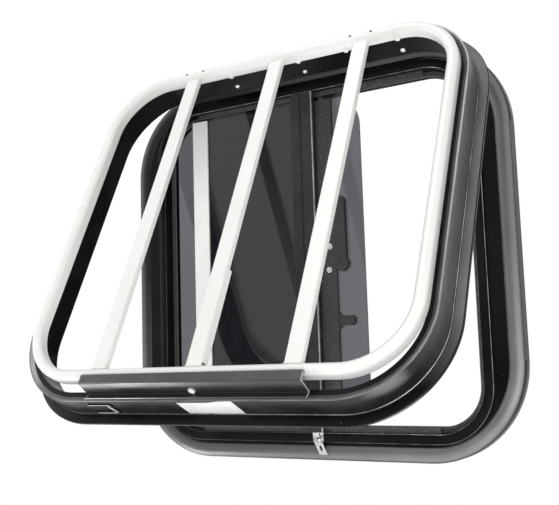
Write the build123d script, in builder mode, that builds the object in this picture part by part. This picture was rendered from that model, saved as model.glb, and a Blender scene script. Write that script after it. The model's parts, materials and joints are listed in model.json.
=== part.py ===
import os
from math import cos, radians, sin

from build123d import *

os.makedirs("parts", exist_ok=True)

# Leaf: the hinged frame, a domed seal on its front and a raised glazing frame inside it
leaf_width = 610.0
leaf_height = 567.0
leaf_corner = 130.0
leaf_depth = 23.0
leaf_gap = 11.0
leaf_lap_side = 3.5
leaf_lap_top = 3.0
leaf_open_angle = 26.4
leaf_edge = 1.5
seal_edge = 0.5
seal_width = 19.5
seal_crown = 8.5
seal_height = 3.7
web_side = 40.0
web_top = 24.0
glazing_corner = 76.0
glazing_rim = 14.0
glazing_rise = 4.0
glazing_edge = 1.2
glazing_sleeve = 3.0
gasket_width = 8.5
gasket_thickness = 2.0

# Wall frame: a flange outside the wall, a spigot through it, a thin lip round its front
flange_corner = 121.5
flange_thickness = 4.0
flange_overlap = 13.5
flange_root = 1.8
flange_edge = 1.0
spigot_wall = 13.4
spigot_depth = 33.7
lip_height = 2.8
lip_step = 0.3
lip_flat = 2.5
lip_bevel = 4.6

# Guard: a chamfered tube ring on the front of the spigot, with flat bars between its top and foot
ring_side_lap = 2.0
ring_top_lap = 3.1
ring_foot_gap = 10.5
ring_corner = 89.0
ring_tube = 14.5
ring_depth = 17.4
ring_edge = 4.2
bar_places = {"left": -140.3, "middle": 2.8, "right": 133.7}
bar_width = 21.4
bar_setback = 4.5
bar_depth = 9.2
bar_round = 2.0
backing_depth = 3.7
backing_length = 132.0

# Latch rail: a bent cover over the gap under the guard, with a round button
rail_length = 309.0
rail_wall = 2.0
rail_stand = 4.9
rail_top_lap = 3.5
rail_face = 13.1
rail_knee = 2.4
rail_round = 1.5
button_radius = 4.6
button_height = 2.5
button_edge = 1.0
button_place = 7.0
button_share = 0.72

# Weep cover: a thin plate under the spigot with a toothed end
weep_length = 36.0
weep_width = 24.0
weep_thickness = 1.6
weep_place = -137.0
weep_teeth = 6
weep_tooth_depth = 2.0

# Panes, mullion and tracks
pane_thickness = 4.0
pane_gap = 5.0
pane_front = 6.0
pane_left_gap = 54.0
pane_right = 89.0
pane_left_corner = 20.0
pane_right_corner = 55.0
fixed_pane_right = 14.0
fixed_pane_inset = 1.0
mullion_width = 37.5
mullion_place = 1.8
mullion_depth = 5.0
mullion_groove_width = 3.0
mullion_groove_depth = 1.5
mullion_groove_place = -0.4
mullion_bead_width = 2.2
mullion_bead_height = 0.8
mullion_bead_inset = 1.2
track_end_gap = 1.0
track_height = 7.5
track_wall = 1.5
track_lift = 2.5

# Fittings on the sliding pane
stile_width = 28.0
stile_cheek = 3.0
stile_rear_cheek = 1.9
stile_end_gap = 3.0
strip_width = 26.6
strip_thickness = 5.0
strip_end_gap = 6.5
latch_width = 16.5
latch_length = 108.0
latch_height = 8.0
latch_middle = 32.0
latch_corner = 8.0
latch_edge = 1.2
lobe_reach = 10.3
lobe_height = -11.0
lobe_radius = 9.0
knob_radius = 7.2
knob_height = 7.0
knob_edge = 1.2
knob_place = (66.7, -91.2)
neck_width = 14.0
neck_height = 4.0

# Catch at the foot of the leaf, a plate with a slotted slanting tongue
catch_place = 12.0
catch_width = 16.0
catch_height = 13.0
catch_thickness = 2.0
tongue_width = 12.4
tongue_length = 17.0
tongue_lean = 8.0
slot_length = 8.0
slot_width = 3.2

# Hinge along the top
hinge_length = 340.0
hinge_standoff = 10.0
hinge_lift = 1.5
hinge_plate = 3.0
hinge_plate_depth = 15.0
knuckle_radius = 4.0
knuckle_count = 7
knuckle_gap = 0.4
pin_radius = 2.0

# Clearances
press_clearance = 0.02
pin_clearance = 0.05
seat_clearance = 0.3
running_clearance = 0.5

# Worked-out places; Z is up, Y points out of the vehicle, the origin is on the flange's wall side
flange_width = leaf_width - 2 * leaf_lap_side
flange_height = leaf_height - 2 * leaf_lap_top
frame_mid = flange_height / 2 - flange_overlap / 2
spigot_width = flange_width - 2 * flange_overlap
spigot_height = flange_height - 2 * flange_overlap
spigot_corner = flange_corner - flange_overlap
spigot_foot = frame_mid - spigot_height / 2
clear_width = spigot_width - 2 * spigot_wall
clear_height = spigot_height - 2 * spigot_wall
ring_width = clear_width + 2 * ring_side_lap
ring_top = frame_mid + clear_height / 2 + ring_top_lap
ring_foot = frame_mid - clear_height / 2 + ring_foot_gap
ring_front = -spigot_depth - ring_depth
lip_front = -spigot_depth - lip_height
wall_plane = Plane(origin=(0, 0, frame_mid), x_dir=(1, 0, 0), z_dir=(0, -1, 0))
spigot_front = wall_plane.offset(spigot_depth)
ring_plane = Plane(origin=(0, -spigot_depth, (ring_top + ring_foot) / 2), x_dir=(1, 0, 0), z_dir=(0, -1, 0))

tilt = radians(leaf_open_angle)
outward = Vector(0, cos(tilt), sin(tilt))
upward = Vector(0, -sin(tilt), cos(tilt))
leaf_front_closed = flange_thickness + leaf_gap
hinge_y = flange_thickness + hinge_standoff
hinge_z = frame_mid + leaf_height / 2 + hinge_lift + knuckle_radius
hinge_point = Vector(0, hinge_y, hinge_z)
leaf_origin = hinge_point + outward * (leaf_front_closed - hinge_y) + upward * (frame_mid - hinge_z)
leaf_plane = Plane(origin=leaf_origin, x_dir=(1, 0, 0), z_dir=-outward)
leaf_normal = Axis(leaf_origin, leaf_plane.z_dir)
glazing_width = leaf_width - 2 * web_side
glazing_height = leaf_height - 2 * web_top
inner_width = glazing_width - 2 * glazing_rim
inner_height = glazing_height - 2 * glazing_rim
inner_corner = glazing_corner - glazing_rim
pane_rear = pane_front + pane_thickness
fixed_front = pane_rear + pane_gap
fixed_rear = fixed_front + pane_thickness
lip_depth = fixed_rear + seat_clearance
gasket_rear = fixed_front - seat_clearance
pane_foot = -inner_height / 2 + track_wall + seat_clearance
pane_top = inner_height / 2 - track_wall - track_lift
pane_left = -inner_width / 2 + pane_left_gap
pane_width = pane_right - pane_left
track_length = inner_width - 2 * inner_corner - 2 * track_end_gap
mullion_right = mullion_place + mullion_width / 2
strip_left = mullion_right + running_clearance
latch_left = strip_left + strip_width


def behind(depth):
    # A plane parallel to the leaf's front face, that far towards the outside
    return leaf_plane.offset(-depth)


def across_leaf(place):
    # A plane across the leaf, facing +X, with local x running outwards and local y up the leaf
    return Plane(origin=leaf_origin + Vector(place, 0, 0), x_dir=outward, z_dir=(1, 0, 0))


def up_leaf(height):
    # A plane square to the leaf, with local x to the right and local y running outwards
    return Plane(origin=leaf_origin + upward * height, x_dir=(1, 0, 0), z_dir=upward)


def hinge_across(place):
    # A plane across the hinge axis, turned with the leaf
    return Plane(origin=hinge_point + Vector(place, 0, 0), x_dir=outward, z_dir=(1, 0, 0))


def wall_section(place):
    # A plane across the wall frame, facing +X, with local x running outwards and local y up
    return Plane(origin=(place, 0, 0), x_dir=(0, 1, 0), z_dir=(1, 0, 0))


def rounded_ring(width, height, corner, rim):
    RectangleRounded(width, height, corner)
    RectangleRounded(width - 2 * rim, height - 2 * rim, corner - rim, mode=Mode.SUBTRACT)


def save(piece, name):
    piece.part.label = name
    export_step(piece.part, f"parts/{name}.step")


# Wall frame
with BuildPart() as wall_frame:
    with BuildSketch(wall_plane):
        rounded_ring(flange_width, flange_height, flange_corner, flange_overlap + spigot_wall)
    extrude(amount=-flange_thickness)
    with BuildSketch(wall_plane):
        rounded_ring(spigot_width, spigot_height, spigot_corner, spigot_wall)
    extrude(amount=spigot_depth)
    flange_face = wall_frame.faces().filter_by(Axis.Y).filter_by_position(Axis.Y, -flange_root, flange_root)[0]
    chamfer(flange_face.inner_wires()[0].edges(), flange_root)
    flange_face = wall_frame.faces().filter_by(Axis.Y).filter_by_position(Axis.Y, -flange_root, flange_root)[0]
    chamfer(flange_face.outer_wire().edges(), flange_edge)
    with BuildSketch(spigot_front):
        rounded_ring(spigot_width, spigot_height, spigot_corner, lip_flat + lip_bevel)
    extrude(amount=lip_height)
    bevel_face = wall_frame.faces().sort_by(Axis.Y)[0]
    chamfer(bevel_face.inner_wires()[0].edges(), lip_height - lip_step, lip_bevel)
save(wall_frame, "wall_frame")

# Guard ring
with BuildPart() as guard_ring:
    with BuildSketch(ring_plane):
        rounded_ring(ring_width, ring_top - ring_foot, ring_corner, ring_tube)
    extrude(amount=ring_depth)
    ring_face = guard_ring.faces().sort_by(Axis.Y)[0]
    chamfer(ring_face.edges(), ring_edge)
save(guard_ring, "guard_ring")

# Guard bars, butted between the ring's top and foot; the middle one has a backing strip low down
bar_foot = ring_foot + ring_tube
bar_top = ring_top - ring_tube
bar_front = ring_front + bar_setback
for bar_name, bar_x in bar_places.items():
    with BuildPart() as guard_bar:
        with BuildSketch(Plane.XY.offset(bar_foot)):
            with Locations((bar_x, bar_front + bar_depth / 2)):
                RectangleRounded(bar_width, bar_depth, bar_round)
        extrude(amount=bar_top - bar_foot)
        if bar_name == "middle":
            with BuildSketch(Plane.XY.offset(bar_foot)):
                with Locations((bar_x, bar_front + bar_depth - bar_round)):
                    Rectangle(bar_width, backing_depth + bar_round, align=(Align.CENTER, Align.MIN))
            extrude(amount=backing_length)
    save(guard_bar, f"guard_bar_{bar_name}")

# Latch rail: from the ring's front over a face and a sloping under side to a foot on the lip's bevel
rail_top = ring_foot + rail_top_lap
rail_front = ring_front - rail_stand
rail_seat = -spigot_depth - seat_clearance
bevel_top = Vector(-spigot_depth - lip_step, spigot_foot + lip_flat + lip_bevel)
bevel_foot = Vector(lip_front, spigot_foot + lip_flat)
bevel_run = (bevel_foot - bevel_top).normalized()
bevel_out = Vector(bevel_run.Y, -bevel_run.X)
rail_ridge = Vector(rail_front, rail_top - rail_face)
rail_lift = bevel_out * (seat_clearance + rail_wall)
rail_bend = bevel_top + rail_lift - bevel_run * rail_knee
rail_toe = bevel_foot + rail_lift
with BuildPart() as latch_rail:
    with BuildSketch(wall_section(-rail_length / 2)):
        with BuildLine():
            Polyline((ring_front + seat_clearance, rail_top), (rail_front, rail_top), rail_ridge, rail_bend, rail_toe)
            offset(amount=rail_wall, side=Side.LEFT, kind=Kind.INTERSECTION)
        make_face()
        with Locations((rail_seat, rail_top)):
            Rectangle(spigot_depth, rail_top, align=(Align.MIN, Align.MAX), mode=Mode.SUBTRACT)
    extrude(amount=rail_length)
    fillet(latch_rail.edges().filter_by(Axis.X).group_by(Axis.Y)[0], rail_round)
save(latch_rail, "latch_rail")

# Rail button, on the rail's under side
rail_under = (rail_bend - rail_ridge).normalized()
button_seat = rail_ridge + (rail_bend - rail_ridge) * button_share
button_plane = Plane(
    origin=(button_place, button_seat.X, button_seat.Y),
    x_dir=(1, 0, 0),
    z_dir=(0, rail_under.Y, -rail_under.X),
)
with BuildPart() as rail_button:
    with BuildSketch(button_plane):
        Circle(button_radius)
    extrude(amount=button_height)
    button_face = rail_button.faces().sort_by(Axis(button_plane.origin, button_plane.z_dir))[-1]
    chamfer(button_face.edges(), button_edge)
save(rail_button, "rail_button")

# Weep cover
weep_plane = Plane(
    origin=(weep_place, -spigot_depth / 2, spigot_foot), x_dir=(1, 0, 0), z_dir=(0, 0, -1)
)
with BuildPart() as weep_cover:
    with BuildSketch(weep_plane):
        Rectangle(weep_length, weep_width)
        tooth_pitch = weep_width / weep_teeth
        with Locations((weep_length / 2, 0)):
            with GridLocations(0, tooth_pitch, 1, weep_teeth):
                Rectangle(2 * weep_tooth_depth, tooth_pitch / 2, mode=Mode.SUBTRACT)
    extrude(amount=weep_thickness)
save(weep_cover, "weep_cover")

# Leaf frame
with BuildPart() as leaf_frame:
    with BuildSketch(leaf_plane):
        RectangleRounded(leaf_width, leaf_height, leaf_corner)
        RectangleRounded(
            inner_width + 2 * glazing_sleeve + 2 * seat_clearance,
            inner_height + 2 * glazing_sleeve + 2 * seat_clearance,
            inner_corner + glazing_sleeve + seat_clearance,
            mode=Mode.SUBTRACT,
        )
    extrude(amount=-leaf_depth)
    chamfer(leaf_frame.faces().sort_by(leaf_normal)[0].outer_wire().edges(), leaf_edge)
save(leaf_frame, "leaf_frame")

# Leaf seal, a crowned strip swept round the front of the leaf
seal_half_x = leaf_width / 2 - seal_edge - seal_width / 2
seal_half_y = leaf_height / 2 - seal_edge - seal_width / 2
seal_corner = leaf_corner - seal_edge - seal_width / 2
with BuildPart() as leaf_seal:
    with BuildLine(leaf_plane) as seal_path:
        FilletPolyline(
            (-seal_half_x, -seal_half_y),
            (seal_half_x, -seal_half_y),
            (seal_half_x, seal_half_y),
            (-seal_half_x, seal_half_y),
            radius=seal_corner,
            close=True,
        )
    seal_start = seal_path.wire()
    with BuildSketch(Plane(origin=seal_start @ 0, x_dir=leaf_plane.z_dir, z_dir=seal_start % 0)):
        with BuildLine():
            Polyline(
                (0, -seal_width / 2),
                (seal_height, -seal_crown / 2),
                (seal_height, seal_crown / 2),
                (0, seal_width / 2),
                close=True,
            )
        make_face()
    sweep(path=seal_start)
save(leaf_seal, "leaf_seal")

# Glazing frame: a raised rim on the leaf's front, a sleeve through it and a rear lip behind the glass
with BuildPart() as glazing_frame:
    with BuildSketch(leaf_plane):
        rounded_ring(glazing_width, glazing_height, glazing_corner, glazing_rim)
    extrude(amount=glazing_rise)
    chamfer(glazing_frame.faces().sort_by(leaf_normal)[-1].edges(), glazing_edge)
    with BuildSketch(leaf_plane):
        rounded_ring(
            inner_width + 2 * glazing_sleeve,
            inner_height + 2 * glazing_sleeve,
            inner_corner + glazing_sleeve,
            glazing_sleeve,
        )
    extrude(amount=-leaf_depth)
    with BuildSketch(behind(lip_depth)):
        rounded_ring(inner_width, inner_height, inner_corner, gasket_width)
    extrude(amount=lip_depth - leaf_depth)
save(glazing_frame, "glazing_frame")

# Glazing gasket, in front of the fixed glass
with BuildPart() as glazing_gasket:
    with BuildSketch(behind(gasket_rear)):
        rounded_ring(
            inner_width - 2 * seat_clearance,
            inner_height - 2 * seat_clearance,
            inner_corner - seat_clearance,
            gasket_width - seat_clearance,
        )
    extrude(amount=gasket_thickness)
save(glazing_gasket, "glazing_gasket")

# Fixed pane, in the left half against the rear lip
with BuildPart() as fixed_pane:
    with BuildSketch(behind(fixed_front)):
        RectangleRounded(
            inner_width - 2 * fixed_pane_inset,
            inner_height - 2 * fixed_pane_inset,
            inner_corner - fixed_pane_inset,
        )
        with Locations((fixed_pane_right, 0)):
            Rectangle(inner_width, inner_height, align=(Align.MAX, Align.CENTER), mode=Mode.INTERSECT)
    extrude(amount=-pane_thickness)
save(fixed_pane, "fixed_pane")

# Centre mullion, a post in front of the sliding pane with a groove and a bead down its face
mullion_rear = pane_front - pane_gap
mullion_front = mullion_rear - mullion_depth
with BuildPart() as centre_mullion:
    with BuildSketch(behind(mullion_rear)):
        with Locations((mullion_place, 0)):
            Rectangle(mullion_width, inner_height)
    extrude(amount=mullion_depth)
    with BuildSketch(behind(mullion_front)):
        with Locations((mullion_groove_place, 0)):
            Rectangle(mullion_groove_width, inner_height)
    extrude(amount=-mullion_groove_depth, mode=Mode.SUBTRACT)
    with BuildSketch(behind(mullion_front)):
        with Locations((mullion_right - mullion_bead_inset, 0)):
            Rectangle(mullion_bead_width, inner_height, align=(Align.MAX, Align.CENTER))
    extrude(amount=mullion_bead_height)
save(centre_mullion, "centre_mullion")

# Upper and lower tracks, channels that the sliding pane runs in
track_groove = pane_thickness + 2 * running_clearance
for track_name, track_side in (("upper", 1), ("lower", -1)):
    with BuildPart() as track:
        with BuildSketch(across_leaf(-track_length / 2)):
            with Locations((pane_front + pane_thickness / 2, track_side * (inner_height - track_height) / 2)):
                Rectangle(track_groove + 2 * track_wall, track_height)
            with Locations((pane_front + pane_thickness / 2, track_side * (inner_height / 2 - track_height))):
                Rectangle(track_groove, 2 * (track_height - track_wall), mode=Mode.SUBTRACT)
        extrude(amount=track_length)
    save(track, f"{track_name}_track")

# Catch plate on the foot of the glazing frame
catch_top = -inner_height / 2
catch_foot = catch_top - catch_height
with BuildPart() as catch_plate:
    with BuildSketch(behind(-glazing_rise)):
        with Locations((catch_place, catch_top)):
            Rectangle(catch_width, catch_height, align=(Align.CENTER, Align.MAX))
    extrude(amount=catch_thickness)
save(catch_plate, "catch_plate")

# Catch tongue, a slanting slotted strip over the seal
tongue_turn = -Vector(tongue_length, tongue_lean).get_angle(Vector(0, 1))
with BuildPart() as catch_tongue:
    with BuildSketch(behind(-glazing_rise)):
        with BuildLine():
            Polyline(
                (catch_place - tongue_width / 2, catch_foot),
                (catch_place + tongue_width / 2, catch_foot),
                (catch_place + tongue_width / 2 + tongue_lean, catch_foot - tongue_length),
                (catch_place - tongue_width / 2 + tongue_lean, catch_foot - tongue_length),
                close=True,
            )
        make_face()
        with Locations((catch_place + tongue_lean / 2, catch_foot - tongue_length / 2)):
            SlotOverall(slot_length, slot_width, rotation=tongue_turn, mode=Mode.SUBTRACT)
    extrude(amount=catch_thickness)
save(catch_tongue, "catch_tongue")

# Sliding pane
with BuildPart() as sliding_pane:
    with BuildSketch(behind(pane_front)) as pane_outline:
        with Locations(((pane_left + pane_right) / 2, (pane_top + pane_foot) / 2)):
            Rectangle(pane_width, pane_top - pane_foot)
        fillet(pane_outline.vertices().group_by(Axis.X)[0], pane_left_corner)
        fillet(pane_outline.vertices().group_by(Axis.X)[-1], pane_right_corner)
    extrude(amount=-pane_thickness)
save(sliding_pane, "sliding_pane")

# Pull stile, a channel over the pane's left edge
stile_half = inner_height / 2 - track_height - stile_end_gap
stile_left = pane_left - stile_cheek
with BuildPart() as pull_stile:
    with BuildSketch(up_leaf(-stile_half)):
        with Locations((stile_left, pane_front - stile_cheek)):
            Rectangle(
                stile_width,
                stile_cheek + pane_thickness + stile_rear_cheek,
                align=(Align.MIN, Align.MIN),
            )
        with Locations((pane_left, pane_front)):
            Rectangle(stile_width, pane_thickness, align=(Align.MIN, Align.MIN), mode=Mode.SUBTRACT)
    extrude(amount=2 * stile_half)
save(pull_stile, "pull_stile")

# Handle strip, the full height of the pane beside the mullion, which stops it
strip_half = inner_height / 2 - track_height - strip_end_gap
with BuildPart() as handle_strip:
    with BuildSketch(behind(pane_front)):
        with Locations((strip_left, 0)):
            Rectangle(strip_width, 2 * strip_half, align=(Align.MIN, Align.CENTER))
    extrude(amount=strip_thickness)
save(handle_strip, "handle_strip")

# Pane latch, a long body with a round lobe at its foot, against the strip's right side
with BuildPart() as pane_latch:
    with BuildSketch(behind(pane_front)):
        with Locations((latch_left, latch_middle)):
            RectangleRounded(latch_width, latch_length, latch_corner, align=(Align.MIN, Align.CENTER))
    extrude(amount=latch_height)
    chamfer(pane_latch.faces().sort_by(leaf_normal)[-1].edges(), latch_edge)
    with BuildSketch(behind(pane_front)):
        with Locations((latch_left + lobe_reach, lobe_height)):
            Circle(lobe_radius)
    extrude(amount=latch_height - latch_edge)
save(pane_latch, "pane_latch")

# Latch knob, on a flat neck from the strip
with BuildPart() as latch_knob:
    with BuildSketch(behind(pane_front)):
        with Locations(knob_place):
            Circle(knob_radius)
    extrude(amount=knob_height)
    chamfer(latch_knob.faces().sort_by(leaf_normal)[-1].edges(), knob_edge)
    with BuildSketch(behind(pane_front)):
        with Locations((latch_left, knob_place[1])):
            Rectangle(knob_place[0] - latch_left, neck_width, align=(Align.MIN, Align.CENTER))
    extrude(amount=neck_height)
save(latch_knob, "latch_knob")

# Hinge: knuckles in turn on the wall side and on the leaf, round one pin
knuckle_pitch = hinge_length / knuckle_count
knuckle_length = knuckle_pitch - knuckle_gap
knuckle_starts = [-hinge_length / 2 + knuckle_gap / 2 + n * knuckle_pitch for n in range(knuckle_count)]
flange_top = frame_mid + flange_height / 2
arm_end = hinge_y - knuckle_radius - running_clearance
with BuildPart() as wall_hinge:
    with BuildSketch(wall_section(-hinge_length / 2)):
        with Locations((flange_thickness, flange_top)):
            Rectangle(
                hinge_plate, hinge_z + knuckle_radius - flange_top, align=(Align.MAX, Align.MIN)
            )
        with Locations((arm_end, hinge_z + knuckle_radius)):
            Rectangle(arm_end - flange_thickness + hinge_plate, hinge_plate, align=(Align.MAX, Align.MAX))
    extrude(amount=hinge_length)
    for start in knuckle_starts[0::2]:
        with BuildSketch(Plane(origin=(start, hinge_y, hinge_z), x_dir=(0, 1, 0), z_dir=(1, 0, 0))):
            Circle(knuckle_radius)
            with Locations((0, knuckle_radius)):
                Rectangle(hinge_y - arm_end + hinge_plate, hinge_plate, align=(Align.MAX, Align.MAX))
            Circle(pin_radius + press_clearance, mode=Mode.SUBTRACT)
        extrude(amount=knuckle_length)
save(wall_hinge, "wall_hinge")

leaf_plate_front = knuckle_radius + running_clearance
with BuildPart() as leaf_hinge:
    with BuildSketch(hinge_across(-hinge_length / 2)):
        with Locations((leaf_plate_front, -knuckle_radius - hinge_lift)):
            Rectangle(hinge_plate_depth, hinge_plate, align=(Align.MIN, Align.MIN))
    extrude(amount=hinge_length)
    for start in knuckle_starts[1::2]:
        with BuildSketch(hinge_across(start)):
            Circle(knuckle_radius)
            with Locations((0, -knuckle_radius)):
                Rectangle(leaf_plate_front + hinge_plate, hinge_plate, align=(Align.MIN, Align.MIN))
            Circle(pin_radius + pin_clearance, mode=Mode.SUBTRACT)
        extrude(amount=knuckle_length)
save(leaf_hinge, "leaf_hinge")

with BuildPart() as hinge_pin:
    with BuildSketch(Plane(origin=(-hinge_length / 2, hinge_y, hinge_z), x_dir=(0, 1, 0), z_dir=(1, 0, 0))):
        Circle(pin_radius)
    extrude(amount=hinge_length)
save(hinge_pin, "hinge_pin")
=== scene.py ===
import json
import math

import bmesh
import bpy
from mathutils import Matrix, Vector


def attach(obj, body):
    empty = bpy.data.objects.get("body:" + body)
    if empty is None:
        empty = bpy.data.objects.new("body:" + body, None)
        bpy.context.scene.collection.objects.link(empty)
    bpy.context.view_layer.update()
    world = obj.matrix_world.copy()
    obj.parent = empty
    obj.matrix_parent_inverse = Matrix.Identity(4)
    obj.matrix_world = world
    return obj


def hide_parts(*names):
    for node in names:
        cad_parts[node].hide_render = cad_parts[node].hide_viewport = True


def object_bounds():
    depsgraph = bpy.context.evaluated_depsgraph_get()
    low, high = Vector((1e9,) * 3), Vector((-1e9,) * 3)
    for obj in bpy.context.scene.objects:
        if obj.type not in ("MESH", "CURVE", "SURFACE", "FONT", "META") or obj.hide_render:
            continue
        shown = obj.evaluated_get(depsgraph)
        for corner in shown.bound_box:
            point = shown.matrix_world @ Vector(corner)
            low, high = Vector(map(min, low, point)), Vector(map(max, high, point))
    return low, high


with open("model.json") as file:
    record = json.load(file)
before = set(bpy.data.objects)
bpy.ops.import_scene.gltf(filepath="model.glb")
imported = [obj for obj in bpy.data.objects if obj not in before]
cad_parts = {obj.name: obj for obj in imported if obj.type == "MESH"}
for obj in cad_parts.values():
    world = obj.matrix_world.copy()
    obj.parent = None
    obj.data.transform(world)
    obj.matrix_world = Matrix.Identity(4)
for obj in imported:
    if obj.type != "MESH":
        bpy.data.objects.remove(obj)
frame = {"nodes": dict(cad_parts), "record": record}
cadLow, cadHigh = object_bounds()
nodes = frame["nodes"]
print("frame loaded:", len(nodes), "nodes")

# pieces are drawn in millimetres, in the part's own axes or on the wall or the leaf,
# where x is to the right, y up and z towards the room
wallMiddle = (0, 0, 0.27375)
leafMiddle = (0, 0.143395, 0.304334)
leafTurn = math.radians(116.4)
inFrame = Matrix.Scale(0.001, 4)
onWall = Matrix.Translation(wallMiddle) @ Matrix.Rotation(math.radians(90), 4, "X") @ inFrame
onLeaf = Matrix.Translation(leafMiddle) @ Matrix.Rotation(leafTurn, 4, "X") @ inFrame


# material helpers: every pattern reads the part's own coordinates, in metres

def startMaterial(name):
    mat = bpy.data.materials.new(name)
    mat.use_nodes = True
    tree = mat.node_tree
    shader = tree.nodes["Principled BSDF"]
    place = tree.nodes.new("ShaderNodeTexCoord").outputs["Object"]
    return mat, tree, shader, place


def addAxis(tree, place, axis):
    split = tree.nodes.new("ShaderNodeSeparateXYZ")
    tree.links.new(place, split.inputs["Vector"])
    return split.outputs[axis]


def addNoise(tree, place, size, detail=3.0, stretch=(1, 1, 1)):
    fit = tree.nodes.new("ShaderNodeMapping")
    fit.inputs["Scale"].default_value = [s / size for s in stretch]
    tree.links.new(place, fit.inputs["Vector"])
    noise = tree.nodes.new("ShaderNodeTexNoise")
    noise.inputs["Scale"].default_value = 1.0
    noise.inputs["Detail"].default_value = detail
    tree.links.new(fit.outputs["Vector"], noise.inputs["Vector"])
    return noise.outputs["Fac"]


def addCells(tree, place, size):
    cells = tree.nodes.new("ShaderNodeTexVoronoi")
    cells.inputs["Scale"].default_value = 1.0 / size
    tree.links.new(place, cells.inputs["Vector"])
    return cells.outputs


def addRamp(tree, fac, *stops):
    ramp = tree.nodes.new("ShaderNodeValToRGB")
    while len(ramp.color_ramp.elements) < len(stops):
        ramp.color_ramp.elements.new(0.5)
    for element, (at, colour) in zip(ramp.color_ramp.elements, stops):
        element.position = at
        element.color = (*colour, 1)
    tree.links.new(fac, ramp.inputs["Fac"])
    return ramp.outputs["Color"]


def addRange(tree, fac, low, high, start=0.0, end=1.0):
    spread = tree.nodes.new("ShaderNodeMapRange")
    spread.inputs["From Min"].default_value = start
    spread.inputs["From Max"].default_value = end
    spread.inputs["To Min"].default_value = low
    spread.inputs["To Max"].default_value = high
    tree.links.new(fac, spread.inputs["Value"])
    return spread.outputs["Result"]


def addMath(tree, operation, first, second):
    step = tree.nodes.new("ShaderNodeMath")
    step.operation = operation
    for socket, value in zip(step.inputs, (first, second)):
        if isinstance(value, (int, float)):
            socket.default_value = value
        else:
            tree.links.new(value, socket)
    return step.outputs["Value"]


def addMix(tree, fac, first, second):
    mix = tree.nodes.new("ShaderNodeMix")
    mix.data_type = "RGBA"
    tree.links.new(fac, mix.inputs["Factor"])
    for socket, value in ((mix.inputs["A"], first), (mix.inputs["B"], second)):
        if isinstance(value, tuple):
            socket.default_value = (*value, 1)
        else:
            tree.links.new(value, socket)
    return mix.outputs["Result"]


def addBump(tree, shader, height, strength, distance):
    bump = tree.nodes.new("ShaderNodeBump")
    bump.inputs["Strength"].default_value = strength
    bump.inputs["Distance"].default_value = distance
    tree.links.new(height, bump.inputs["Height"])
    tree.links.new(bump.outputs["Normal"], shader.inputs["Normal"])


def addSpecks(tree, place, spacing, size):
    # sparse dust: the middles of a few cells only
    cells = addCells(tree, place, spacing)
    near = addRange(tree, cells["Distance"], 1.0, 0.0, 0.4 * size / spacing, size / spacing)
    chosen = addMath(tree, "GREATER_THAN", cells["Color"], 0.72)
    return addMath(tree, "MULTIPLY", near, chosen)


def setLook(tree, shader, colour, roughness, metallic=0.0):
    tree.links.new(colour, shader.inputs["Base Color"])
    if isinstance(roughness, float):
        shader.inputs["Roughness"].default_value = roughness
    else:
        tree.links.new(roughness, shader.inputs["Roughness"])
    shader.inputs["Metallic"].default_value = metallic


def grey(value):
    return (value, value, value)


# finishes

def blackSatin(name, gloss=0.09, lightStripX=None, sheenAboveZ=None, tone=1.0, sheenTone=0.12):
    mat, tree, shader, place = startMaterial(name)
    cloud = addNoise(tree, place, 0.06, 4)
    deep = (0.0048 * tone, 0.005 * tone, 0.0054 * tone)
    light = (0.0095 * tone, 0.0095 * tone, 0.0102 * tone)
    coat = addRamp(tree, cloud, (0.35, deep), (0.7, light))
    if sheenAboveZ:
        # painted sheen: the coat is painted a lighter brown-grey above its foot, standing in for the light
        # its upper faces reflect
        height = addRange(tree, addAxis(tree, place, "Z"), 0.0, 1.0, *sheenAboveZ)
        patchy = addRange(tree, addNoise(tree, place, 0.09, 3), 0.75, 1.0, 0.35, 0.65)
        sheenColour = (sheenTone, sheenTone * 0.95, sheenTone * 0.96)
        coat = addMix(tree, addMath(tree, "MULTIPLY", height, patchy), coat, sheenColour)
    if lightStripX:
        # a narrow strip across the part painted light grey; on the mullion it is a painted highlight along
        # its edge
        start, end = lightStripX
        across = addAxis(tree, place, "X")
        pastStart = addMath(tree, "GREATER_THAN", across, start)
        beforeEnd = addMath(tree, "LESS_THAN", across, end)
        inside = addMath(tree, "MULTIPLY", pastStart, beforeEnd)
        patchy = addRange(tree, addNoise(tree, place, 0.012, 4), 0.5, 1.0, 0.35, 0.6)
        coat = addMix(tree, addMath(tree, "MULTIPLY", inside, patchy), coat, grey(0.45))
    dusty = addMix(tree, addSpecks(tree, place, 0.011, 0.0005), coat, grey(0.42))
    setLook(tree, shader, dusty, addRange(tree, cloud, 0.2, 0.32, 0.3, 0.7))
    shader.inputs["Specular IOR Level"].default_value = gloss
    addBump(tree, shader, addNoise(tree, place, 0.0012, 2), 0.05, 0.0003)
    return mat


# bright edge lines, partly rubbed bare metal and partly painted highlight; the scratches take this finish
# too
def rubbedAndLitEdge():
    mat, tree, shader, place = startMaterial("rubbedAndLitEdge")
    worn = addNoise(tree, place, 0.02, 5)
    # painted highlight: bright on the right, where the light falls, hardly at all on the left
    litFromRight = addRange(tree, addAxis(tree, place, "X"), 0.15, 1.0, -0.06, 0.1)
    metal = addRamp(tree, worn, (0.35, grey(0.1)), (0.65, grey(0.3)))
    colour = addMix(tree, litFromRight, grey(0.02), metal)
    setLook(tree, shader, colour, addRange(tree, worn, 0.2, 0.36), metallic=0.6)
    return mat


def greyLip():
    mat, tree, shader, place = startMaterial("greyLip")
    cloud = addNoise(tree, place, 0.03, 4)
    colour = addRamp(tree, cloud, (0.3, (0.1, 0.098, 0.095)), (0.7, (0.16, 0.157, 0.153)))
    setLook(tree, shader, colour, addRange(tree, cloud, 0.24, 0.36), metallic=0.9)
    addBump(tree, shader, addNoise(tree, place, 0.001, 2), 0.06, 0.0003)
    return mat


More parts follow.
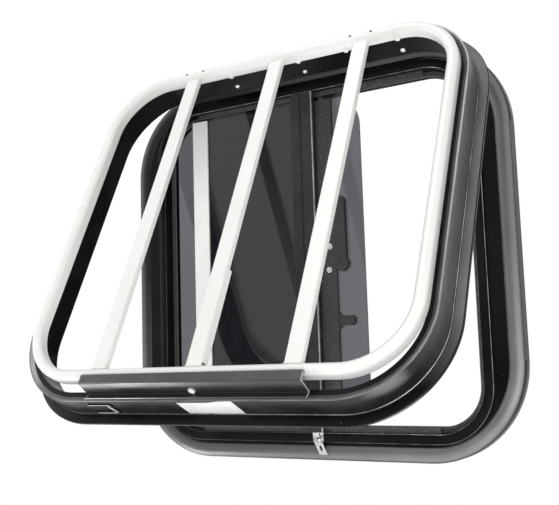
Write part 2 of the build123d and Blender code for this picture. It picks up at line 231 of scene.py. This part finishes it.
def whiteEnamel():
    mat, tree, shader, place = startMaterial("whiteEnamel")
    cloud = addNoise(tree, place, 0.09, 3)
    coat = addRamp(tree, cloud, (0.3, (0.85, 0.84, 0.82)), (0.7, (0.885, 0.88, 0.865)))
    grime = addRange(tree, addNoise(tree, place, 0.018, 6), 0.0, 0.5, 0.62, 0.8)
    colour = addMix(tree, grime, coat, (0.72, 0.70, 0.66))
    setLook(tree, shader, colour, addRange(tree, cloud, 0.25, 0.36))
    addBump(tree, shader, addNoise(tree, place, 0.0022, 2), 0.05, 0.0003)
    return mat


def whiteMoulded():
    mat, tree, shader, place = startMaterial("whiteMoulded")
    cloud = addNoise(tree, place, 0.04, 3)
    colour = addRamp(tree, cloud, (0.3, (0.89, 0.89, 0.88)), (0.7, (0.93, 0.93, 0.92)))
    setLook(tree, shader, colour, addRange(tree, cloud, 0.34, 0.46))
    addBump(tree, shader, addNoise(tree, place, 0.0008, 2), 0.05, 0.0002)
    return mat


def blackMoulded():
    mat, tree, shader, place = startMaterial("blackMoulded")
    cloud = addNoise(tree, place, 0.02, 3)
    colour = addRamp(tree, cloud, (0.3, (0.013, 0.012, 0.012)), (0.7, (0.028, 0.026, 0.025)))
    setLook(tree, shader, colour, addRange(tree, cloud, 0.4, 0.55))
    addBump(tree, shader, addNoise(tree, place, 0.0007, 2), 0.12, 0.0002)
    return mat


def greySeal(name, tone):
    mat, tree, shader, place = startMaterial(name)
    cloud = addNoise(tree, place, 0.05, 4)
    # painted light: the rubber is painted paler towards the foot's right corner, where light falls on it,
    # and darker up its left side; its shine is set higher towards the right and along the foot
    across = addRange(tree, addAxis(tree, place, "X"), 0.0, 1.0, -0.12, 0.2)
    height = addAxis(tree, place, "Z")
    down = addRange(tree, height, 1.0, 0.3, 0.1, 0.3)
    foot = addRange(tree, height, 1.0, 0.0, 0.1, 0.3)
    pale = addRamp(tree, cloud, (0.3, grey(1.4 * tone)), (0.72, grey(2.0 * tone)))
    litAndShaded = addMix(tree, addMath(tree, "MULTIPLY", across, down), grey(0.4 * tone), pale)
    setLook(tree, shader, litAndShaded, addRange(tree, cloud, 0.3, 0.42))
    shine = addRange(tree, addMath(tree, "MAXIMUM", across, foot), 0.15, 0.9)
    tree.links.new(shine, shader.inputs["Specular IOR Level"])
    addBump(tree, shader, addNoise(tree, place, 0.0009, 2), 0.2, 0.0003)
    return mat


def ribbedGasket():
    mat, tree, shader, place = startMaterial("ribbedGasket")
    dots = addCells(tree, place, 0.0014)["Distance"]
    setLook(tree, shader, addRamp(tree, dots, (0.08, grey(0.24)), (0.42, grey(0.03))), 0.55)
    addBump(tree, shader, dots, 0.4, 0.0004)
    return mat


def tintedGlass():
    mat, tree, shader, place = startMaterial("tintedGlass")
    cloud = addNoise(tree, place, 0.3, 2)
    tint = addRamp(tree, cloud, (0.3, (0.112, 0.109, 0.122)), (0.7, (0.128, 0.125, 0.138)))
    mesh = addRange(tree, addNoise(tree, place, 0.0014, 1), 0.0, 0.2, 0.45, 0.62)
    setLook(tree, shader, addMix(tree, mesh, tint, (0.085, 0.083, 0.093)), 0.0)
    shader.inputs["IOR"].default_value = 1.5
    shader.inputs["Transmission Weight"].default_value = 1.0
    return mat


def speckledStrip():
    mat, tree, shader, place = startMaterial("speckledStrip")
    speck = addNoise(tree, place, 0.0035, 4)
    colour = addRamp(tree, speck, (0.45, (0.02, 0.0185, 0.018)), (0.62, (0.038, 0.035, 0.034)),
                     (0.78, (0.14, 0.13, 0.125)))
    setLook(tree, shader, colour, 0.5)
    addBump(tree, shader, speck, 0.2, 0.0004)
    return mat


def brightSteel():
    mat, tree, shader, place = startMaterial("brightSteel")
    brush = addNoise(tree, place, 0.0006, 2, (0.08, 1, 1))
    colour = addRamp(tree, brush, (0.3, grey(0.55)), (0.7, grey(0.72)))
    setLook(tree, shader, colour, addRange(tree, brush, 0.2, 0.38), metallic=1.0)
    addBump(tree, shader, addNoise(tree, place, 0.0035, 3), 0.7, 0.0012)
    return mat


def crumpledFoil():
    mat, tree, shader, place = startMaterial("crumpledFoil")
    # painted reflection: the crumples are coloured from near black to near white by the same noise that
    # bends them, standing in for the light their facets catch
    crumple = addNoise(tree, place, 0.0042, 4)
    colour = addRamp(tree, crumple, (0.36, grey(0.05)), (0.5, grey(0.45)), (0.62, grey(0.88)))
    setLook(tree, shader, colour, 0.3, metallic=0.3)
    addBump(tree, shader, crumple, 0.9, 0.002)
    return mat


def labelPaper():
    mat, tree, shader, place = startMaterial("labelPaper")
    crease = addNoise(tree, place, 0.02, 4)
    colour = addRamp(tree, crease, (0.3, (0.66, 0.66, 0.655)), (0.6, (0.8, 0.8, 0.795)))
    setLook(tree, shader, colour, 0.55)
    addBump(tree, shader, crease, 0.2, 0.0006)
    return mat


finishes = {
    "black_frame": blackSatin("blackSatin"),
    "white_guard": whiteEnamel(),
    "white_plastic": whiteMoulded(),
    "black_plastic": blackMoulded(),
    "bright_steel": brightSteel(),
    "grey_seal": greySeal("paleSeal", 0.14),
    "gasket_rubber": ribbedGasket(),
    "tinted_glass": tintedGlass(),
    "speckled_strip": speckledStrip(),
}
leafCoat = blackSatin("leafCoat", gloss=0.06)
special = {
    # the mullion's light strip is a painted highlight along its edge
    "centre_mullion": blackSatin("mullionCoat", gloss=0.2, lightStripX=(0.0171, 0.0194), tone=4.5),
    "latch_rail": blackSatin("railCoat", gloss=0.85, lightStripX=(0.1540, 0.1560), tone=2.0),
    "leaf_frame": leafCoat,
    "weep_cover": leafCoat,
    "catch_plate": crumpledFoil(),
}
labelFinish = labelPaper()
# lit and shaded copies of the seal's rubber, from painted light to painted shade
sealShades = {"sealLight": 0.115, "sealMiddle": 0.088, "sealDeep": 0.064, "sealShadeDarkest": 0.04}
sealTones = [greySeal(name, tone) for name, tone in sealShades.items()]
rubbedAndLitFinish = rubbedAndLitEdge()
# edge finishes: bright edge lines, the grey lip, and copies of the black coat for the flange and spigot
# with a painted sheen above their feet; the spigot's copy is painted lighter as well, as painted light on
# its faces
edgeFinishes = [rubbedAndLitFinish, greyLip(), blackSatin("flangeCoat", sheenAboveZ=(0.035, 0.12), sheenTone=0.19),
                blackSatin("spigotCoat", gloss=0.12, sheenAboveZ=(0.045, 0.13), tone=2.6)]

# each node takes the finish of its slot in the record, and softened edges
edgeSoftening = {"black_frame": 0.0005, "white_guard": 0.0008, "white_plastic": 0.0008,
                 "black_plastic": 0.0005, "bright_steel": 0.0003, "speckled_strip": 0.0006}
# the step of the middle bar's backing strip is too small for more
fineEdges = {"guard_bar_middle": 0.0002}
weldReach = 0.00001
softenAbove = math.radians(30)
slotOf = {row["node"]: row["material_slot"] for row in frame["record"]["subparts"]}
for name, node in nodes.items():
    finish = special.get(name, finishes[slotOf[name]])
    if not node.data.materials:
        node.data.materials.append(finish)
    for index in range(len(node.data.materials)):
        node.data.materials[index] = finish
    soft = fineEdges.get(name, edgeSoftening.get(slotOf[name]))
    if soft:
        weld = node.modifiers.new("joinFaces", "WELD")
        weld.merge_threshold = weldReach
        bevel = node.modifiers.new("softEdges", "BEVEL")
        bevel.width = soft
        bevel.segments = 2
        bevel.limit_method = "ANGLE"
        bevel.angle_limit = softenAbove
        bevel.use_clamp_overlap = False
        bevel.harden_normals = True
print("finishes set")


# mesh helpers

def addPiece(name, shape, place, finish, body, sharp=35, extra=()):
    shape.transform(place)
    bmesh.ops.recalc_face_normals(shape, faces=shape.faces)
    mesh = bpy.data.meshes.new(name)
    shape.to_mesh(mesh)
    shape.free()
    mesh.shade_smooth()
    mesh.set_sharp_from_angle(angle=math.radians(sharp))
    for each in (finish, *extra):
        mesh.materials.append(each)
    piece = bpy.data.objects.new(name, mesh)
    bpy.context.scene.collection.objects.link(piece)
    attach(piece, body)
    return piece


def bridge(shape, this, following, closed=True):
    # faces between two rows of points
    faces = []
    for a in range(len(this) if closed else len(this) - 1):
        b = (a + 1) % len(this)
        faces.append(shape.faces.new((this[a], this[b], following[b], following[a])))
    return faces


def sweepRing(outline, section, soft=0.0, steps=24):
    # a closed section of (inset, rise, finish) points, taken round a rounded rectangle
    width, height, corner = outline
    shape = bmesh.new()
    loops = []
    for inset, rise, *_ in section:
        reach = corner - inset
        loop = []
        for quarter, (sideX, sideY) in enumerate(((1, 1), (-1, 1), (-1, -1), (1, -1))):
            for step in range(steps + 1):
                angle = math.radians(90 * (quarter + step / steps))
                x = sideX * (width / 2 - corner) + reach * math.cos(angle)
                y = sideY * (height / 2 - corner) + reach * math.sin(angle)
                loop.append(shape.verts.new((x, y, rise)))
        loops.append(loop)
    for point, this, following in zip(section, loops, loops[1:] + loops[:1]):
        for face in bridge(shape, this, following):
            face.material_index = point[2] if len(point) > 2 else 0
    bmesh.ops.recalc_face_normals(shape, faces=shape.faces)
    if soft:
        corners = [e for e in shape.edges if e.calc_face_angle(0) > math.radians(25)]
        bmesh.ops.bevel(shape, geom=corners, offset=soft, segments=3, profile=0.5, affect="EDGES")
    return shape


def turn(shape, profile, place, steps):
    # a (radius, height) profile turned about the place's own z axis; the first and last radius may be zero
    rows = []
    for radius, height in profile:
        row = []
        for n in range(steps if radius > 0 else 1):
            angle = math.tau * n / steps
            point = Vector((radius * math.cos(angle), radius * math.sin(angle), height))
            row.append(shape.verts.new(place @ point))
        rows.append(row)
    for low, high in zip(rows, rows[1:]):
        for n in range(steps):
            m = (n + 1) % steps
            corners = [low[n % len(low)], low[m % len(low)], high[m % len(high)], high[n % len(high)]]
            shape.faces.new(list(dict.fromkeys(corners)))


def slab(shape, points, low, high, place=Matrix.Identity(4)):
    # a flat outline with thickness
    under = [shape.verts.new(place @ Vector((x, y, low))) for x, y in points]
    over = [shape.verts.new(place @ Vector((x, y, high))) for x, y in points]
    shape.faces.new(under)
    shape.faces.new(over)
    bridge(shape, under, over)


def addFixings(name, fixing, place, body, slot):
    # one turned profile at each of its seats
    shape = bmesh.new()
    for seat in fixing["seats"]:
        turn(shape, fixing["profile"], Matrix.Translation(seat) @ fixing["facing"], fixing["steps"])
    addPiece(name, shape, place, finishes[slot], body)


# strips of a swept section that take one of the edge finishes
rubbedAndLitLine, lip, flange, spigot = 1, 2, 3, 4

# wall frame: flange, spigot and lip, with bright lines along its edges and crease, partly rubbed bare metal
# and partly painted highlight
frameShell = {"outline": (603.0, 561.0, 121.5), "section": [
    (0, -4), (0, -0.9), (0.3, -0.6), (0.8, -0.1), (1.1, 0, flange), (11.7, 0), (12.3, 0.6, rubbedAndLitLine),
    (13.0, 1.3), (13.5, 1.8, spigot), (13.5, 35.9, rubbedAndLitLine), (13.9, 36.5, lip), (16, 36.5, lip),
    (20.6, 34.0), (20.6, 33.7), (26.9, 33.7), (26.9, -4)]}
shell = addPiece("frameShell", sweepRing(frameShell["outline"], frameShell["section"]), onWall,
                 finishes["black_frame"], "frame", sharp=25, extra=edgeFinishes)
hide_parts("wall_frame")

# glazing frame: raised rim, sleeve and rear lip, with bright lines on its rim's edges, partly rubbed bare
# metal and partly painted highlight
glazingShell = {"outline": (530.0, 519.0, 76.0), "section": [
    (0, 0), (0, 2.8), (0.5, 3.3, rubbedAndLitLine), (1.0, 3.8), (1.5, 4), (12.5, 4), (13.0, 3.8, rubbedAndLitLine), (13.5, 3.3),
    (14, 2.8), (14, -19.3), (22.5, -19.3), (22.5, -23), (11, -23), (11, 0)]}
glazing = addPiece("glazingShell", sweepRing(glazingShell["outline"], glazingShell["section"]), onLeaf,
                   leafCoat, "leaf", sharp=25, extra=edgeFinishes)
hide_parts("glazing_frame")

# rounded guard tube
guardTube = {"outline": (553.2, 499.8, 89.0), "raised": 6.8, "rear": 33.7, "front": 51.1,
             "tube": 14.5, "round": 4.2, "soft": 1.6}
low, high, wide, cut = (guardTube[key] for key in ("rear", "front", "tube", "round"))
section = [(0, low), (0, high - cut), (cut, high), (wide - cut, high), (wide, high - cut), (wide, low)]
tube = addPiece("guardTube", sweepRing(guardTube["outline"], section, guardTube["soft"]),
                onWall @ Matrix.Translation((0, guardTube["raised"], 0)),
                finishes["white_guard"], "frame", sharp=50)
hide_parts("guard_ring")

# domed seal round the leaf's front, in lit and shaded copies of one rubber: painted shade at its very edge,
# painted light on its outer slope and deeper painted shade towards its inner edge;
# tone 0 is the pale finish, and 1 to 4 are sealTones
domedSeal = {"outline": (610.0, 567.0, 130.0), "edge": 0.5, "width": 19.5, "height": 3.7,
             "tones": (4, 0, 0, 0, 1, 1, 2, 2, 3, 3, 4, 4, 4)}
section = []
for step, tone in enumerate(domedSeal["tones"]):
    across = step / (len(domedSeal["tones"]) - 1)
    rise = domedSeal["height"] * (1 - (2 * across - 1) ** 2)
    section.append((domedSeal["edge"] + domedSeal["width"] * across, rise, tone))
seal = addPiece("domedSeal", sweepRing(domedSeal["outline"], section), onLeaf,
                finishes["grey_seal"], "leaf", sharp=60, extra=sealTones)
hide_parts("leaf_seal")

# beaded gasket in front of the fixed glass
beadedGasket = {"outline": (501.4, 490.4, 61.7), "rear": -14.7, "front": -12.7, "width": 8.2,
                "groove": (2.4, 3.0, 3.6), "deep": 0.7, "cutIn": 1.6, "cutDown": 0.9, "soft": 0.2}
rear, front, wide = (beadedGasket[key] for key in ("rear", "front", "width"))
start, bottom, end = beadedGasket["groove"]
section = [(0, rear), (0, front), (start, front), (bottom, front - beadedGasket["deep"]), (end, front),
           (wide - beadedGasket["cutIn"], front), (wide, front - beadedGasket["cutDown"]), (wide, rear)]
gasket = addPiece("beadedGasket", sweepRing(beadedGasket["outline"], section, beadedGasket["soft"]), onLeaf,
                  finishes["gasket_rubber"], "leaf")
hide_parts("glazing_gasket")
print("swept rings built")

# ways that a fixing or a mark can face
facingDown = Matrix.Rotation(math.radians(180), 4, "X")
facingRoom = Matrix.Rotation(math.radians(90), 4, "X")
facingRight = Matrix.Rotation(math.radians(90), 4, "Y")
asDrawn = Matrix.Identity(4)

# domed rivets in the spigot's top
spigotRivets = {"seats": [(across, -4.0, 527.35) for across in (-89.0, 26.5, 177.0)],
                "facing": facingDown, "steps": 20,
                "profile": [(0, -0.2), (3.9, -0.2), (3.9, 0.3), (3.5, 1.0), (2.7, 1.7), (1.5, 2.1),
                            (0.9, 2.15), (0.7, 1.7), (0, 1.7)]}
addFixings("spigotRivets", spigotRivets, inFrame, "frame", "bright_steel")

# pan screws under the guard's top
guardScrews = {"seats": [(across, -37.4, 515.95) for across in (-77.0, 35.0, 109.0, 184.0)],
               "facing": facingDown, "steps": 20,
               "profile": [(0, -0.2), (3.9, -0.2), (3.9, 1.4), (3.6, 2.6), (2.6, 3.4), (1.1, 3.6),
                           (0.9, 2.7), (0, 2.7)]}
addFixings("guardScrews", guardScrews, inFrame, "frame", "white_guard")

# black discs with a rolled edge at the tops of the outer bars, standing in as painted shade for small open
# holes
guardHoles = {"seats": [(across, -51.1, 524.6) for across in (-151.0, -121.0, 119.5, 150.0)],
              "facing": facingRoom, "steps": 14,
              "profile": [(0, -0.1), (1.9, -0.1), (1.7, 0.25), (1.2, 0.25), (1.0, 0.05), (0, 0.05)]}
addFixings("guardHoles", guardHoles, inFrame, "frame", "black_plastic")

# uneven weld beads where the bars meet the guard's top and foot
weldBeads = {"bars": (-140.3, 2.8, 133.7), "ends": ((515.95, -1), (45.15, 1)), "width": 21.4,
             "front": -46.6, "bead": 1.1, "uneven": 0.15, "wave": 2.1, "sunk": 0.4, "parts": 18,
             "turns": (0.0, 0.4, 0.8, 1.2, 1.57)}
front = weldBeads["front"]
shape = bmesh.new()
for across in weldBeads["bars"]:
    left = across - weldBeads["width"] / 2
    for height, way in weldBeads["ends"]:
        rows = []
        for n in range(weldBeads["parts"] + 1):
            x = left + weldBeads["width"] * n / weldBeads["parts"]
            wave = math.sin(n * weldBeads["wave"] + across)
            size = weldBeads["bead"] * (1 - weldBeads["uneven"] + weldBeads["uneven"] * wave)
            points = [(x, front - size * math.cos(turned), height + way * size * math.sin(turned))
                      for turned in weldBeads["turns"]]
            points.append((x, front + weldBeads["sunk"], height))
            rows.append([shape.verts.new(point) for point in points])
        for this, following in zip(rows, rows[1:]):
            bridge(shape, this, following)
        shape.faces.new(rows[0])
        shape.faces.new(rows[-1])
addPiece("weldBeads", shape, inFrame, finishes["white_guard"], "frame", sharp=60)
print("fixings built")

# blank label under the spigot, wider at its right end, rippled and lifting at its edges
blankLabel = {"left": -18.0, "right": 59.0, "near": -32.0, "far": -1.9, "inner": -18.0, "rim": 3.0,
              "under": 6.75, "thick": 0.2, "columns": 24, "widens": (0.55, 0.8), "extra": 3.5,
              "ripples": ((0.12, 0.31), (0.1, 0.83)), "lifted": 0.15, "flat": 0.02, "sag": 0.6}
shape = bmesh.new()
start, end = blankLabel["widens"]
far, rim = blankLabel["far"], blankLabel["rim"]
sheets = []
for thick in (0.0, blankLabel["thick"]):
    grid = []
    for n in range(blankLabel["columns"] + 1):
        share = n / blankLabel["columns"]
        x = blankLabel["left"] + (blankLabel["right"] - blankLabel["left"]) * share
        near = blankLabel["near"] - blankLabel["extra"] * min(max((share - start) / (end - start), 0), 1)
        ripple = sum(size * math.sin(x * pace) for size, pace in blankLabel["ripples"])
        sag = (blankLabel["lifted"] + ripple) * blankLabel["sag"]
        across = ((near, 1.0), (near + rim, 0.3), (blankLabel["inner"], 0.1), (far - rim, 0.3), (far, 1.0))
        grid.append([shape.verts.new((x, y, blankLabel["under"] - thick - sag * (blankLabel["flat"] + out)))
                     for y, out in across])
    sheets.append(grid)
for grid in sheets:
    for this, following in zip(grid, grid[1:]):
        bridge(shape, this, following, closed=False)
upper, lower = sheets
for edge in (0, -1):
    bridge(shape, upper[edge], lower[edge], closed=False)
for side in (0, -1):
    bridge(shape, [row[side] for row in upper], [row[side] for row in lower], closed=False)
addPiece("blankLabel", shape, inFrame, labelFinish, "frame")

# bright washers and screws of the pane latch
latchScrews = {"seats": ((38.0, 14.5, -1.0), (36.0, -18.7, -1.0)), "facing": asDrawn, "steps": 20,
               "profile": [(0, -0.1), (4.2, -0.1), (4.2, 0.5), (3.9, 0.7), (2.9, 0.7), (2.8, 1.2),
                           (2.2, 1.9), (1.0, 2.2), (0.8, 1.6), (0, 1.6)]}
addFixings("latchScrews", latchScrews, onLeaf, "slider", "bright_steel")

# flare where the latch knob's neck leaves the handle strip
knobFlare = {"edge": 47.65, "up": -91.2, "reach": 11.0, "wide": 13.0, "narrow": 6.2, "bend": 2.4,
             "parts": 8, "rear": -6.0, "front": -2.1}
wide, narrow, up = (knobFlare[key] for key in ("wide", "narrow", "up"))
curve = []
for n in range(knobFlare["parts"] + 1):
    share = n / knobFlare["parts"]
    x = knobFlare["edge"] + knobFlare["reach"] * share
    curve.append((x, narrow + (wide - narrow) * (1 - share) ** knobFlare["bend"]))
outline = [(x, up - y) for x, y in curve] + [(x, up + y) for x, y in reversed(curve)]
shape = bmesh.new()
slab(shape, outline, knobFlare["rear"], knobFlare["front"])
addPiece("knobFlare", shape, onLeaf, finishes["black_plastic"], "slider")

# light outline and comb teeth on the weep cover
weepComb = {"start": -155.0, "stop": -125.0, "near": -28.6, "far": -5.2, "line": 0.7, "teeth": 6,
            "tooth": ((-126.0, 0.2), (-121.2, 0.3), (-121.2, 1.6), (-126.0, 1.2)),
            "low": 4.85, "high": 5.25}
start, stop, line = (weepComb[key] for key in ("start", "stop", "line"))
pitch = (weepComb["far"] - weepComb["near"]) / weepComb["teeth"]
strips = [[(start, y), (stop, y), (stop, y + line), (start, y + line)]
          for y in (weepComb["near"], weepComb["far"] - line)]
for n in range(weepComb["teeth"]):
    strips.append([(x, weepComb["near"] + n * pitch + y) for x, y in weepComb["tooth"]])
shape = bmesh.new()
for strip in strips:
    slab(shape, strip, weepComb["low"], weepComb["high"])
addPiece("weepComb", shape, inFrame, finishes["white_plastic"], "frame")

# scratches under the spigot and on the rail's face: slivers of (share of the length, offset) points
sliver = ((0, 0), (0.6, -0.3), (1, 0.1), (0.5, 0.35))
spigotScratches = {"places": ((143, -23.6, 5), (150, -24.2, 3), (155, -22.4, 6), (163, -21.6, 4),
                              (146, -19.2, 4)), "low": 6.69, "high": 6.8, "facing": asDrawn}
railScratches = {"places": ((82, 25.2, 4), (93, 25.6, 3), (104, 25.4, 6), (113, 24.7, 3), (120, 25.1, 5)),
                 "low": 55.9, "high": 56.06, "facing": facingRoom}
for name, marks in (("spigotScratches", spigotScratches), ("railScratches", railScratches)):
    shape = bmesh.new()
    for across, along, length in marks["places"]:
        outline = [(across + length * share, along + offset) for share, offset in sliver]
        slab(shape, outline, marks["low"], marks["high"], marks["facing"])
    addPiece(name, shape, inFrame, rubbedAndLitFinish, "frame")

# small screws at the middle bar's foot
barScrew = {"seats": ((13.5, -43.4, 49.6), (13.5, -40.2, 49.9)), "facing": facingRight, "steps": 14,
            "profile": [(0, -0.1), (1.3, -0.1), (1.3, 0.4), (1.0, 0.7), (0.5, 0.8), (0.4, 0.4), (0, 0.4)]}
addFixings("barScrew", barScrew, inFrame, "frame", "black_plastic")
print("small pieces built")


# camera, at the photograph's angle
viewCamera = {"place": (0.5971, -0.7721, -0.3121), "turn": (120.113, -11.489, 28.621),
              "lens": 55.98, "sensor": 36}
cameraData = bpy.data.cameras.new("viewCamera")
cameraData.lens = viewCamera["lens"]
cameraData.sensor_width = viewCamera["sensor"]
camera = bpy.data.objects.new("viewCamera", cameraData)
camera.location = viewCamera["place"]
camera.rotation_euler = [math.radians(a) for a in viewCamera["turn"]]
bpy.context.scene.collection.objects.link(camera)
bpy.context.scene.camera = camera

# pale floor under the part, lifted only in what the camera and the glass see
floorPlate = {"drop": 1.15, "size": 9.0, "colour": grey(0.82), "roughness": 0.9, "lift": 0.4}
floorMesh = bpy.data.meshes.new("floor")
half = floorPlate["size"] / 2
corners = [(x * half, y * half, -floorPlate["drop"]) for x, y in ((-1, -1), (1, -1), (1, 1), (-1, 1))]
floorMesh.from_pydata(corners, [], [(0, 1, 2, 3)])
floor = bpy.data.objects.new("floor", floorMesh)
floorMat, tree, floorShader, _ = startMaterial("floorPale")
floorShader.inputs["Base Color"].default_value = (*floorPlate["colour"], 1)
floorShader.inputs["Roughness"].default_value = floorPlate["roughness"]
floorShader.inputs["Emission Color"].default_value = (1, 1, 1, 1)
rays = tree.nodes.new("ShaderNodeLightPath")
shown = addMath(tree, "MAXIMUM", rays.outputs["Is Camera Ray"], rays.outputs["Is Transmission Ray"])
tree.links.new(addRange(tree, shown, 0.0, floorPlate["lift"]), floorShader.inputs["Emission Strength"])
floorMesh.materials.append(floorMat)
floor.visible_glossy = False
bpy.context.scene.collection.objects.link(floor)

# white surroundings for what the camera, gloss and glass see, and softer light for the rest
surround = {"seen": 1.0, "light": 0.45}
world = bpy.data.worlds.new("studio")
bpy.context.scene.world = world
world.use_nodes = True
tree = world.node_tree
tree.nodes.clear()
rays = tree.nodes.new("ShaderNodeLightPath")
gloss = addMath(tree, "MAXIMUM", rays.outputs["Is Glossy Ray"], rays.outputs["Is Transmission Ray"])
shown = addMath(tree, "MAXIMUM", rays.outputs["Is Camera Ray"], gloss)
back = tree.nodes.new("ShaderNodeBackground")
back.inputs["Color"].default_value = (1, 1, 1, 1)
tree.links.new(addRange(tree, shown, surround["light"], surround["seen"]), back.inputs["Strength"])
out = tree.nodes.new("ShaderNodeOutputWorld")
tree.links.new(back.outputs["Background"], out.inputs["Surface"])

# soft lamps, aimed at the middle of the part and white unless a colour is given
middle = (cadLow + cadHigh) / 2
lamps = [
    {"name": "keyLamp", "place": (-0.45, -1.9, 1.9), "size": (1.5, 1.5), "watts": 22},
    {"name": "rightLamp", "place": (1.8, -0.95, 0.25), "size": (0.6, 2.4), "watts": 8.5,
     "colour": (1, 0.97, 0.93)},
    {"name": "lowLamp", "place": (0.75, -0.85, -0.72), "size": (1.0, 0.9), "watts": 7.6},
    {"name": "fillLamp", "place": (-1.9, -0.9, 0.3), "size": (0.7, 1.6), "watts": 9},
    {"name": "leftLamp", "place": (-0.95, 0.57, -0.62), "size": (0.4, 0.4), "watts": 2},
    {"name": "stileLamp", "place": (-0.9, 0.1, -0.75), "size": (0.4, 0.3), "watts": 5},
    {"name": "rimLamp", "place": (0.45, 1.1, -0.6), "size": (0.8, 0.35), "watts": 8},
]
for lamp in lamps:
    lampData = bpy.data.lights.new(lamp["name"], "AREA")
    lampData.shape = "RECTANGLE"
    lampData.size, lampData.size_y = lamp["size"]
    lampData.energy = lamp["watts"]
    lampData.color = lamp.get("colour", (1, 1, 1))
    lampObject = bpy.data.objects.new(lamp["name"], lampData)
    lampObject.visible_camera = False
    lampObject.location = lamp["place"]
    lampObject.rotation_euler = (middle - Vector(lamp["place"])).to_track_quat("-Z", "Y").to_euler()
    bpy.context.scene.collection.objects.link(lampObject)

bpy.context.scene.view_settings.view_transform = "Standard"
print("camera, floor and lamps set")
